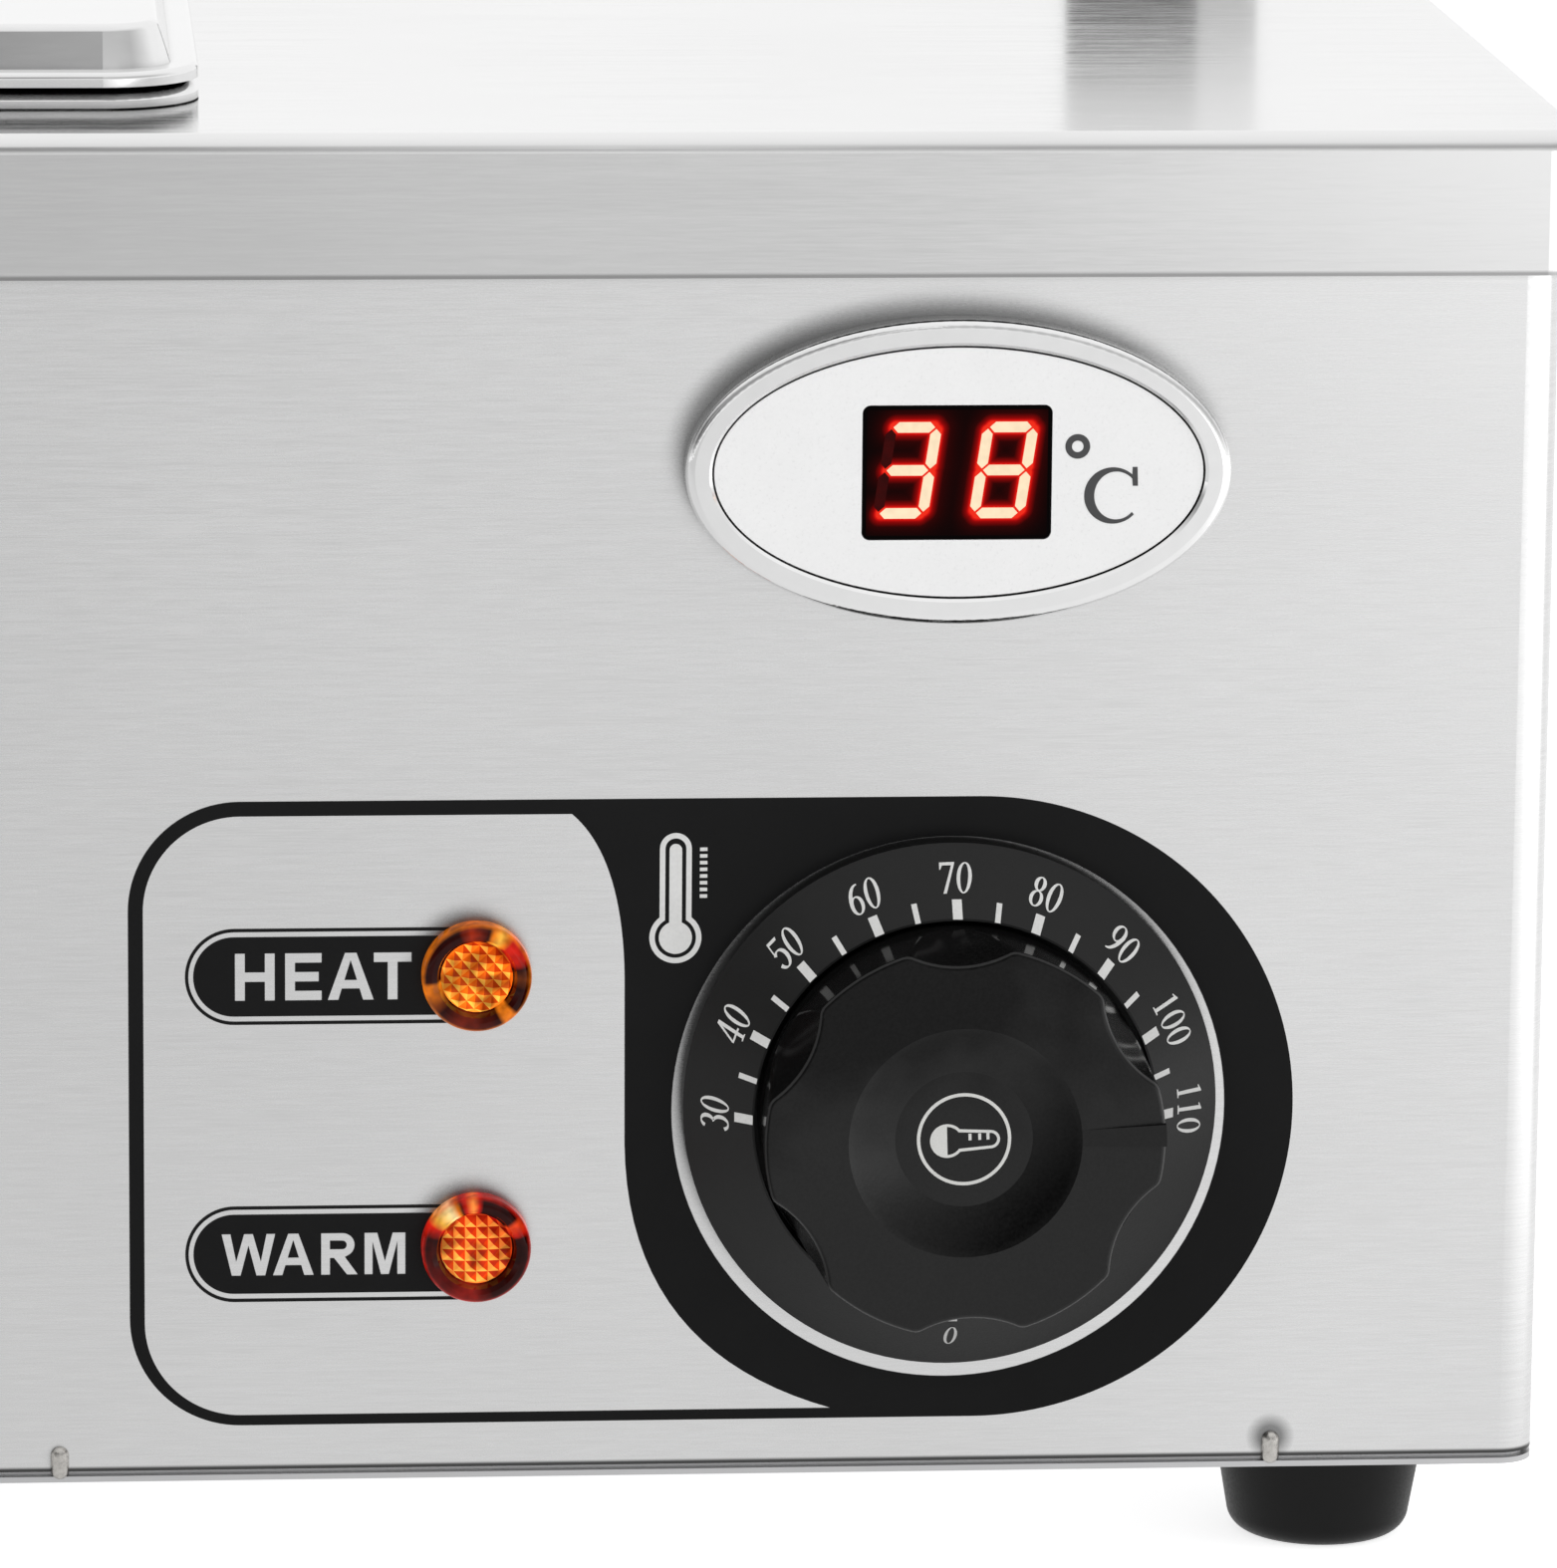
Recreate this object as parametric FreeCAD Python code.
import FreeCAD, Part
import math
import os

# Countertop bain-marie with three one-third size food pans in a row over one water well, and a control
# compartment under a blank stretch of deck at the right. Millimetres, +Z up, +X to the right, front at -Y.
# Inside this file the deck is centred on X and Y; the finished pieces are then moved so that the origin
# lies on the resting plane, under the middle of the whole appliance.

V = FreeCAD.Vector
UP = V(0, 0, 1)

# Deck and wrapped body
CONTROL_LENGTH = 184.8
DECK_BORDER = 25.0
DECK_CORNER = 6.0
DECK_BEND = 2.5
DECK_LIP = 19.2
DECK_OVERHANG = 3.25
DECK_SHEET = 1.0
BODY_HEIGHT = 182.7
BODY_CORNER = 5.0
BODY_SHEET = 1.0
BODY_RETURN = 8.0
BACK_LAP = 15.0

# Base plate, its tack welds and vents
BASE_SHEET = 0.8
BASE_SEAM = 0.7
BASE_UPSTAND = 8.0
BASE_FIT = 0.2
TACK_WIDTH = 2.6
TACK_HEIGHT = 3.6
TACK_PROUD = 0.9
TACK_INSET = 36.6
TACK_PITCH = 150.0
VENT_LENGTH = 46.0
VENT_WIDTH = 4.0
VENT_PITCH = 11.0
VENT_COUNT = 6

# Rubber feet
FOOT_HEIGHT = 17.2
FOOT_TOP_RADIUS = 15.2
FOOT_BOTTOM_RADIUS = 12.2
FOOT_EDGE = 3.0
FOOT_INSET_X = 25.8
FOOT_INSET_Y = 30.0
FOOT_RECESS_RADIUS = 5.6
FOOT_RECESS_DEPTH = 8.0
FOOT_SCREW_RADIUS = 2.5
FOOT_HEAD_RADIUS = 4.4
FOOT_HEAD_HEIGHT = 3.2
FOOT_NUT_FLATS = 8.0
FOOT_NUT_HEIGHT = 4.0
SCREW_CLEARANCE = 0.2

# Food pans and the well that they hang in
PAN_COUNT = 3
PAN_LENGTH = 325.0
PAN_WIDTH = 176.0
PAN_DEPTH = 100.0
PAN_SHEET = 0.8
PAN_EDGE_SHEET = 1.0
PAN_CORNER = 13.0
PAN_FLANGE = 11.5
PAN_RISE = 2.8
PAN_RISE_RUN = 3.0
PAN_BODY_CORNER = 26.0
PAN_STEP_DEPTH = 24.0
PAN_STEP = 2.4
PAN_DRAFT = 4.0
PAN_FLOOR_RADIUS = 14.0
PAN_MOUTH_RADIUS = 1.2
PAN_GAP = 0.6
PAN_SEAT = 0.2
PAN_MARGIN = 26.0
PAN_PLAY = 2.0
WELL_DEPTH = 150.0
WELL_SHEET = 0.8
WELL_FLANGE = 10.0
WELL_FLOOR_RADIUS = 12.0
WELL_CORNER = 28.0

# Lids and their handles
LID_SHEET = 0.8
LID_RIM_DROP = 2.0
LID_SEAT = 0.2
LID_STEP_INSET = 3.7
LID_STEP_RUN = 1.9
LID_STEP_RISE = 5.8
LID_RIM_BEND = 0.9
LID_TOP_BEND = 1.3
HANDLE_LENGTH = 118.0
HANDLE_FOOT = 17.0
HANDLE_HEIGHT = 26.0
HANDLE_SPREAD = 7.0
HANDLE_WIDTH = 20.0
HANDLE_STRIP = 2.0
HANDLE_BEND = 7.0

# Heating element on the well's floor
ELEMENT_RADIUS = 4.25
ELEMENT_LIFT = 24.0
ELEMENT_LEG_PITCH = 66.0
ELEMENT_END_GAP = 38.0
ELEMENT_STUB = 16.0
FITTING_RADIUS = 7.0
FITTING_HEAD = 10.5
FITTING_HEAD_LENGTH = 6.0
FITTING_THREAD = 9.0
GASKET_SHEET = 1.5
FITTING_NUT_FLATS = 19.0
FITTING_NUT_HEIGHT = 5.0
BUSH_FIT = 0.1
TERMINAL_LENGTH = 9.0
TERMINAL_WIDTH = 6.3
TERMINAL_SHEET = 0.8
CLIP_LENGTH = 10.0
CLIP_WALL = 3.0

# Thermostat, its dial and its knob. Places on the front are measured from the body's right side and from
# the lower edge of the front panel.
DIAL_FROM_RIGHT = 81.6
DIAL_HEIGHT = 50.9
DIAL_RADIUS = 36.1
DIAL_EDGE = 4.0
DIAL_BROW = 11.8
DIAL_LAND = 0.3
DIAL_FLOOR = 4.7
DIAL_WALL = 1.6
KNOB_RADIUS = 26.8
KNOB_BASE_RADIUS = 26.2
KNOB_HEIGHT = 21.5
KNOB_GAP = 0.6
KNOB_SIDE_GAP = 0.3
KNOB_EDGE = 0.6
KNOB_REST_ANGLE = 2.0
KNOB_SCOOPS = 6
SCOOP_RADIUS = 15.0
SCOOP_BITE = 2.8
SCOOP_LENGTH = 16.0
SCOOP_CORNER = 2.0
KNOB_DISH_RADIUS = 15.6
KNOB_DISH_DEPTH = 2.4
KNOB_DISH_FLOOR_RADIUS = 9.2
KNOB_WALL = 2.6
KNOB_HUB_RADIUS = 6.5
POINTER_WIDTH = 2.2
POINTER_END_WIDTH = 3.0
POINTER_RISE = 0.7
SPINDLE_RADIUS = 3.0
SPINDLE_FLAT = 0.7
SPINDLE_REACH = 16.0
SHAFT_FIT = 0.05
BUSH_RADIUS = 4.8
THERMOSTAT_WIDTH = 34.0
THERMOSTAT_HEIGHT = 38.0
THERMOSTAT_DEPTH = 17.0
BRACKET_WIDTH = 46.0
BRACKET_HEIGHT = 22.0
BRACKET_SHEET = 1.5
BRACKET_SCREW_PITCH = 38.0
BRACKET_SCREW_RADIUS = 2.0
BRACKET_HEAD_RADIUS = 3.6
BRACKET_HEAD_HEIGHT = 1.8
CAPILLARY_RADIUS = 1.0
CAPILLARY_BEND = 12.0
CAPILLARY_RUN = 25.0
BULB_RADIUS = 3.2
BULB_LENGTH = 80.0
BULB_HEIGHT = 33.0
BULB_OFFSET = 10.0
BULB_CLIP_LENGTH = 8.0

# Pilot lamps
LAMP_FROM_RIGHT = 145.4
HEAT_LAMP_HEIGHT = 68.6
WARM_LAMP_HEIGHT = 31.0
LENS_RADIUS = 7.4
LENS_HEIGHT = 3.4
LENS_FLOOR = 1.4
LENS_WELL_RADIUS = 4.9
LENS_CROWN = 0.8
LAMP_BODY_RADIUS = 4.9
LAMP_BODY_LENGTH = 22.0
LAMP_NUT_FLATS = 14.0
LAMP_NUT_HEIGHT = 3.0

# Digital thermometer
DISPLAY_FROM_RIGHT = 81.4
DISPLAY_HEIGHT = 137.4
BEZEL_LENGTH = 73.0
BEZEL_WIDTH = 41.2
BEZEL_RISE = 4.6
BEZEL_BEND = 1.2
BEZEL_BEVEL = 0.4
BEZEL_RING = 3.5
FACE_DROP = 0.5
FACE_GAP = 0.3
FACE_SHEET = 1.6
FACE_FIT = 0.1
WINDOW_LENGTH = 25.2
WINDOW_WIDTH = 18.0
WINDOW_CORNER = 1.1
WINDOW_OFFSET = -0.3
MODULE_LENGTH = 44.0
MODULE_WIDTH = 24.0
MODULE_DEPTH = 15.0
PROBE_RADIUS = 2.5
PROBE_LENGTH = 26.0
PROBE_HEAD_FLATS = 12.0
PROBE_HEAD_HEIGHT = 5.0
PROBE_HEIGHT = 44.0
PROBE_OFFSET = 62.0
LEAD_RADIUS = 1.5
LEAD_BEND = 14.0

# Overheat cutout, heat shield and wiring pieces
CUTOUT_RADIUS = 8.0
CUTOUT_DEPTH = 10.0
CUTOUT_EAR = 24.0
CUTOUT_HEIGHT = 60.0
SHIELD_GAP = 34.0
SHIELD_SHEET = 0.8
SHIELD_HEIGHT = 120.0
SHIELD_FOOT = 12.0
SHIELD_MARGIN = 22.0
SHIELD_HOLE_RADIUS = 6.0
BLOCK_LENGTH = 34.0
BLOCK_DEPTH = 22.0
BLOCK_HEIGHT = 18.0
BLOCK_POLES = 3
BLOCK_HOLE_RADIUS = 2.6
BLOCK_FROM_BACK = 60.0
STUD_RADIUS = 2.5
STUD_HEIGHT = 16.0
STUD_NUT_FLATS = 8.0

# Cable gland in the back
GLAND_FROM_RIGHT = 56.0
GLAND_HEIGHT = 42.0
GLAND_BORE = 4.2
GLAND_THREAD = 8.0
GLAND_FLATS = 22.0
GLAND_FLANGE = 5.0
GLAND_CAP = 15.0
GLAND_CAP_STEP = 9.5
GLAND_NUT_HEIGHT = 4.5
GLAND_INSIDE = 9.0

# Drain and its ball valve, through the left side
DRAIN_FROM_SIDE = 62.0
DRAIN_FORWARD = 96.0
DRAIN_PIPE_RADIUS = 8.0
DRAIN_PIPE_WALL = 1.2
DRAIN_BEND = 13.0
DRAIN_NECK = 2.0
VALVE_GAP = 1.0
VALVE_FLATS = 25.0
VALVE_COLLAR = 8.0
VALVE_BODY_RADIUS = 15.0
VALVE_BODY_LENGTH = 30.0
VALVE_BORE = 5.5
VALVE_THREAD = 10.4
VALVE_THREAD_LENGTH = 14.0
BALL_RADIUS = 10.0
BALL_GAP = 0.3
STEM_RADIUS = 3.5
NECK_RADIUS = 7.0
NECK_HEIGHT = 21.0
STEM_HEIGHT = 30.0
LEVER_LENGTH = 62.0
LEVER_WIDTH = 11.0
LEVER_TIP_WIDTH = 15.0
LEVER_STRIP = 2.5
LEVER_NUT_FLATS = 9.0
LEVER_NUT_HEIGHT = 4.0

# Heights and sides that follow from the sizes above
DECK_LENGTH = PAN_MARGIN + PAN_COUNT * PAN_WIDTH + (PAN_COUNT - 1) * PAN_GAP + CONTROL_LENGTH
DECK_DEPTH = PAN_LENGTH + 2 * DECK_BORDER
BASE_TOP = FOOT_HEIGHT + BASE_SHEET
PANEL_BOTTOM = BASE_TOP + BASE_SEAM
DECK_TOP = PANEL_BOTTOM + BODY_HEIGHT
DECK_UNDERSIDE = DECK_TOP - DECK_SHEET
BODY_LENGTH = DECK_LENGTH - 2 * DECK_OVERHANG
BODY_DEPTH = DECK_DEPTH - 2 * DECK_OVERHANG
RIGHT = BODY_LENGTH / 2
LEFT = -RIGHT
BACK = BODY_DEPTH / 2
FRONT = -BACK

PAN_PITCH = PAN_WIDTH + PAN_GAP
FIRST_PAN = PAN_MARGIN + PAN_WIDTH / 2 - DECK_LENGTH / 2
PAN_CENTRES = [FIRST_PAN + index * PAN_PITCH for index in range(PAN_COUNT)]
PAN_NAMES = ["left", "centre", "right"]
PAN_EDGE = DECK_TOP + PAN_SEAT
PAN_TOP = PAN_EDGE + PAN_EDGE_SHEET + PAN_RISE
PAN_FLOOR = PAN_TOP - PAN_DEPTH
PAN_MOUTH_LENGTH = PAN_LENGTH - 2 * PAN_FLANGE
PAN_MOUTH_WIDTH = PAN_WIDTH - 2 * PAN_FLANGE
LID_EDGE = PAN_TOP + LID_SEAT + LID_SHEET - LID_RIM_DROP
LID_LEDGE = LID_EDGE + LID_RIM_DROP
LID_TOP = LID_LEDGE + LID_STEP_RISE

WELL_LENGTH = (PAN_COUNT - 1) * PAN_PITCH + PAN_MOUTH_WIDTH + 2 * (PAN_SHEET + PAN_PLAY)
WELL_WIDTH = PAN_MOUTH_LENGTH + 2 * (PAN_SHEET + PAN_PLAY)
WELL_X = (PAN_CENTRES[0] + PAN_CENTRES[-1]) / 2
WELL_LEFT = WELL_X - WELL_LENGTH / 2
WELL_RIGHT = WELL_X + WELL_LENGTH / 2
WELL_FLOOR = DECK_TOP - WELL_DEPTH
WELL_OUTSIDE = WELL_RIGHT + WELL_SHEET

DIAL_X = RIGHT - DIAL_FROM_RIGHT
DIAL_Z = PANEL_BOTTOM + DIAL_HEIGHT
LAMP_X = RIGHT - LAMP_FROM_RIGHT
DISPLAY_X = RIGHT - DISPLAY_FROM_RIGHT
DISPLAY_Z = PANEL_BOTTOM + DISPLAY_HEIGHT
KNOB_BACK = DIAL_FLOOR + KNOB_GAP
KNOB_FACE = KNOB_BACK + KNOB_HEIGHT
THERMOSTAT_FRONT = -BODY_SHEET - BRACKET_SHEET
THERMOSTAT_BACK = THERMOSTAT_FRONT - THERMOSTAT_DEPTH
FACE_TOP = BEZEL_RISE - FACE_DROP
SHIELD_X = WELL_OUTSIDE + SHIELD_GAP

DRAIN_X = WELL_LEFT + DRAIN_FROM_SIDE
DRAIN_Y = -DRAIN_FORWARD
DRAIN_Z = WELL_FLOOR - WELL_SHEET - DRAIN_NECK - DRAIN_BEND
VALVE_INLET = LEFT - VALVE_GAP
BALL_X = VALVE_INLET - VALVE_COLLAR - VALVE_BODY_LENGTH / 2
VALVE_OUTLET = VALVE_INLET - VALVE_COLLAR - VALVE_BODY_LENGTH - VALVE_THREAD_LENGTH
LEVER_BOTTOM = DRAIN_Z + NECK_HEIGHT + VALVE_GAP

FEET = {
    "front_left": V(LEFT + FOOT_INSET_X, FRONT + FOOT_INSET_Y, 0),
    "front_right": V(RIGHT - FOOT_INSET_X, FRONT + FOOT_INSET_Y, 0),
    "back_left": V(LEFT + FOOT_INSET_X, BACK - FOOT_INSET_Y, 0),
    "back_right": V(RIGHT - FOOT_INSET_X, BACK - FOOT_INSET_Y, 0),
}


def rounded_rect(length, depth, radius, z, x=0.0, y=0.0):
    """Closed wire of a rounded rectangle at height z, centred on x and y."""
    a, b = length / 2 - radius, depth / 2 - radius
    corners = [(a, b), (-a, b), (-a, -b), (a, -b)]

    def on_arc(index, share):
        """Point on one corner's arc, from 0 at its start to 1 at its end."""
        angle = (index + share) * math.pi / 2
        return V(x, y, z) + V(*corners[index], 0) + V(radius * math.cos(angle), radius * math.sin(angle), 0)

    edges = []
    for index in range(len(corners)):
        following = (index + 1) % len(corners)
        edges.append(Part.Arc(on_arc(index, 0), on_arc(index, 0.5), on_arc(index, 1)).toShape())
        edges.append(Part.LineSegment(on_arc(index, 1), on_arc(following, 0)).toShape())
    return Part.Wire(edges)


def inset_rect(rect, inset, z):
    """The rounded rectangle (length, depth, radius, x, y) drawn in by an inset, about the same corners."""
    length, depth, radius, x, y = rect
    return rounded_rect(length - 2 * inset, depth - 2 * inset, radius - inset, z, x, y)


def prism(wire, height):
    return Part.Face(wire).extrude(V(0, 0, height))


def stack(rect, *rows):
    """Solid skinned straight between rows of (inset, height) of one rounded rectangle."""
    return Part.makeLoft([inset_rect(rect, inset, z) for inset, z in rows], True, True)


def box(x, y, z):
    """Block between the low and high value given for each axis."""
    return Part.makeBox(x[1] - x[0], y[1] - y[0], z[1] - z[0], V(x[0], y[0], z[0]))


def rod(start, direction, radius, length):
    return Part.makeCylinder(radius, length, start, direction)


def ring(start, direction, radius, bore, length):
    return rod(start, direction, radius, length).cut(rod(start, direction, bore, length))


def hexagon(start, direction, flats, height, bore=0.0):
    """Hexagonal prism with its flats vertical or level, standing on start along direction."""
    reach = flats / math.sqrt(3)
    points = [V(reach * math.cos(math.radians(turn)), reach * math.sin(math.radians(turn)), 0)
              for turn in range(30, 391, 60)]
    solid = prism(Part.makePolygon(points), height)
    if bore:
        solid = solid.cut(rod(V(0, 0, 0), UP, bore, height))
    solid.Placement = FreeCAD.Placement(start, FreeCAD.Rotation(UP, direction))
    return solid


def turned(start, *steps):
    """Solid turned about Z. Each step is a point (radius, height), or two points for an arc through the
    first to the second."""
    edges = []
    last = V(start[0], 0, start[1])
    for step in steps + (start,):
        if isinstance(step[0], tuple):
            middle, end = (V(point[0], 0, point[1]) for point in step)
            edges.append(Part.Arc(last, middle, end).toShape())
        else:
            end = V(step[0], 0, step[1])
            edges.append(Part.LineSegment(last, end).toShape())
        last = end
    return Part.Face(Part.Wire(edges)).revolve(V(0, 0, 0), UP, 360)


def bent_wire(points, radius):
    """Straight runs between the points, joined by tangent arcs of one radius."""
    edges, last = [], points[0]
    for before, corner, after in zip(points, points[1:], points[2:]):
        back = (before - corner).normalize()
        ahead = (after - corner).normalize()
        half = back.getAngle(ahead) / 2
        reach = radius / math.tan(half)
        start, end = corner + back * reach, corner + ahead * reach
        bisector = (back + ahead).normalize()
        middle = corner + bisector * (radius / math.sin(half) - radius)
        if (start - last).Length > 1e-6:
            edges.append(Part.LineSegment(last, start).toShape())
        edges.append(Part.Arc(start, middle, end).toShape())
        last = end
    if (points[-1] - last).Length > 1e-6:
        edges.append(Part.LineSegment(last, points[-1]).toShape())
    return Part.Wire(edges)


def tube(points, bend, radius):
    """Round bar along a bent path."""
    direction = points[1] - points[0]
    section = Part.Wire(Part.Circle(points[0], direction, radius).toShape())
    return bent_wire(points, bend).makePipeShell([section], True, False)


def rounded(solid, radius, chosen):
    """Fillet the edges whose every point passes the test."""
    edges = [edge for edge in solid.Edges if all(chosen(vertex.Point) for vertex in edge.Vertexes)
             and chosen(edge.valueAt((edge.FirstParameter + edge.LastParameter) / 2))]
    return solid.makeFillet(radius, edges)


def level(height):
    """Test for points at one height."""
    return lambda point: abs(point.z - height) < 1e-4


def on_panel(solid, x, z, turn=0.0):
    """Put a piece made about +Z on the front panel: its +Z faces the viewer and its +Y points up."""
    solid = solid.copy()
    solid.rotate(V(0, 0, 0), UP, turn)
    solid.rotate(V(0, 0, 0), V(1, 0, 0), 90)
    solid.translate(V(x, FRONT, z))
    return solid


def deck():
    """One folded sheet with its lip turned down all round and the well's mouth cut out."""
    rect = (DECK_LENGTH, DECK_DEPTH, DECK_CORNER, 0, 0)
    lip_edge = DECK_TOP - DECK_LIP
    skin = rounded(stack(rect, (0, lip_edge), (0, DECK_TOP)), DECK_BEND, level(DECK_TOP))
    hollow = stack(rect, (DECK_SHEET, lip_edge), (DECK_SHEET, DECK_UNDERSIDE))
    hollow = rounded(hollow, DECK_BEND - DECK_SHEET, level(DECK_UNDERSIDE))
    mouth = rounded_rect(WELL_LENGTH, WELL_WIDTH, WELL_CORNER, DECK_UNDERSIDE, WELL_X)
    return skin.cut(hollow).cut(prism(mouth, DECK_SHEET))


def element_ends():
    """Where the element's two ends pass the well's right wall."""
    height = WELL_FLOOR + ELEMENT_LIFT
    return [V(WELL_RIGHT, side * 1.5 * ELEMENT_LEG_PITCH, height) for side in (-1, 1)]


def probe_place():
    return V(WELL_RIGHT, PROBE_OFFSET - WELL_WIDTH / 2, WELL_FLOOR + PROBE_HEIGHT)


def water_well():
    """Drawn tank with a flange under the deck and holes for the drain, the element and the probe."""
    rect = (WELL_LENGTH, WELL_WIDTH, WELL_CORNER, WELL_X, 0)
    outside = stack(rect, (-WELL_SHEET, WELL_FLOOR - WELL_SHEET), (-WELL_SHEET, DECK_UNDERSIDE))
    outside = rounded(outside, WELL_FLOOR_RADIUS, level(WELL_FLOOR - WELL_SHEET))
    inside = stack(rect, (0, WELL_FLOOR), (0, DECK_UNDERSIDE))
    inside = rounded(inside, WELL_FLOOR_RADIUS - WELL_SHEET, level(WELL_FLOOR))
    flange = stack(rect, (-WELL_FLANGE, DECK_UNDERSIDE - WELL_SHEET), (-WELL_FLANGE, DECK_UNDERSIDE))
    well = outside.fuse(flange).cut(inside).removeSplitter()
    drain = rod(V(DRAIN_X, DRAIN_Y, WELL_FLOOR - WELL_SHEET), UP, DRAIN_PIPE_RADIUS - DRAIN_PIPE_WALL,
                WELL_SHEET)
    holes = [rod(end, V(1, 0, 0), FITTING_RADIUS + SCREW_CLEARANCE, WELL_SHEET) for end in element_ends()]
    holes.append(rod(probe_place(), V(1, 0, 0), PROBE_RADIUS + SCREW_CLEARANCE, WELL_SHEET))
    return well.cut([drain] + holes)


def casing():
    """The four walls in one, with a return at the top, under the deck."""
    rect = (BODY_LENGTH, BODY_DEPTH, BODY_CORNER, 0, 0)
    walls = stack(rect, (0, PANEL_BOTTOM), (0, DECK_UNDERSIDE))
    walls = walls.cut(stack(rect, (BODY_SHEET, PANEL_BOTTOM), (BODY_SHEET, DECK_UNDERSIDE - BODY_SHEET)))
    mouth = rounded_rect(BODY_LENGTH - 2 * BODY_RETURN, BODY_DEPTH - 2 * BODY_RETURN, BODY_CORNER,
                         DECK_UNDERSIDE - BODY_SHEET)
    return walls.cut(prism(mouth, BODY_SHEET))


def back_space():
    """Room between the wrapped sheet's two ends, which the back panel fills."""
    half = RIGHT - BODY_CORNER - BACK_LAP
    return box((-half, half), (BACK - BODY_RETURN, BACK), (PANEL_BOTTOM, DECK_UNDERSIDE))


def body_shell():
    """Front and sides from one wrapped sheet, whose ends turn the back corners."""
    through = V(0, 0, -BODY_SHEET)
    dial_holes = [rod(through, UP, BUSH_RADIUS + SCREW_CLEARANCE, BODY_SHEET)]
    for side in (-1, 1):
        place = through + V(side * BRACKET_SCREW_PITCH / 2, 0, 0)
        dial_holes.append(rod(place, UP, BRACKET_SCREW_RADIUS + SCREW_CLEARANCE, BODY_SHEET))
    cuts = [on_panel(hole, DIAL_X, DIAL_Z) for hole in dial_holes]
    lamp_hole = rod(through, UP, LAMP_BODY_RADIUS + SCREW_CLEARANCE, BODY_SHEET)
    cuts += [on_panel(lamp_hole, LAMP_X, PANEL_BOTTOM + height)
             for height in (HEAT_LAMP_HEIGHT, WARM_LAMP_HEIGHT)]
    display_hole = prism(rounded_rect(MODULE_LENGTH + 2 * SCREW_CLEARANCE,
                                      MODULE_WIDTH + 2 * SCREW_CLEARANCE, WINDOW_CORNER, -BODY_SHEET),
                         BODY_SHEET)
    cuts.append(on_panel(display_hole, DISPLAY_X, DISPLAY_Z))
    cuts.append(rod(V(LEFT, DRAIN_Y, DRAIN_Z), V(1, 0, 0), DRAIN_PIPE_RADIUS + SCREW_CLEARANCE, BODY_SHEET))
    return casing().cut([back_space()] + cuts)


def back_panel():
    """Flat back, seam welded edge to edge between the wrapped sheet's ends, with the gland's hole."""
    hole = rod(gland_place() - V(0, BODY_SHEET, 0), V(0, 1, 0), GLAND_THREAD + SCREW_CLEARANCE, BODY_SHEET)
    return casing().common(back_space()).cut(hole)


def base_plate():
    """Tray that closes the bottom, with its edge turned up inside the body shell."""
    rect = (BODY_LENGTH, BODY_DEPTH, BODY_CORNER, 0, 0)
    plate = stack(rect, (0, FOOT_HEIGHT), (0, BASE_TOP))
    fit = BODY_SHEET + BASE_FIT
    upstand = stack(rect, (fit, BASE_TOP), (fit, BASE_TOP + BASE_UPSTAND))
    inner = fit + BASE_SHEET
    upstand = upstand.cut(stack(rect, (inner, BASE_TOP), (inner, BASE_TOP + BASE_UPSTAND)))
    cuts = [rod(foot + V(0, 0, FOOT_HEIGHT), UP, FOOT_SCREW_RADIUS + SCREW_CLEARANCE, BASE_SHEET)
            for foot in FEET.values()]
    for index in range(VENT_COUNT):
        y = (index - (VENT_COUNT - 1) / 2) * VENT_PITCH
        slot = rounded_rect(VENT_LENGTH, VENT_WIDTH, VENT_WIDTH * 0.49, FOOT_HEIGHT, DIAL_X, y)
        cuts.append(prism(slot, BASE_SHEET))
    return plate.fuse(upstand).cut(cuts).removeSplitter()


def base_tack_welds():
    """Small weld beads that tie the base plate's edge to the body shell."""
    along = int((BODY_LENGTH - 2 * TACK_INSET) // TACK_PITCH)
    step = (BODY_LENGTH - 2 * TACK_INSET) / along
    places = [RIGHT - TACK_INSET - index * step for index in range(along + 1)]
    bead_length = TACK_HEIGHT + BASE_SEAM + BASE_SHEET / 2
    tall = bead_length - TACK_WIDTH
    bead = Part.makeCylinder(TACK_WIDTH / 2, tall, V(0, 0, TACK_WIDTH / 2))
    ends = (TACK_WIDTH / 2, bead_length - TACK_WIDTH / 2)
    bead = bead.fuse([Part.makeSphere(TACK_WIDTH / 2, V(0, 0, end)) for end in ends])
    beads = []
    for x in places:
        for side, y in ((-1, FRONT), (1, BACK)):
            placed = bead.copy()
            placed.translate(V(x, y + side * (TACK_PROUD - TACK_WIDTH / 2), BASE_TOP - BASE_SHEET / 2))
            outside = box((x - TACK_WIDTH, x + TACK_WIDTH), sorted((y, y + side * TACK_WIDTH)),
                          (FOOT_HEIGHT, PANEL_BOTTOM + TACK_HEIGHT + TACK_WIDTH))
            beads.append(placed.common(outside))
    return Part.makeCompound(beads)


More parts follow.
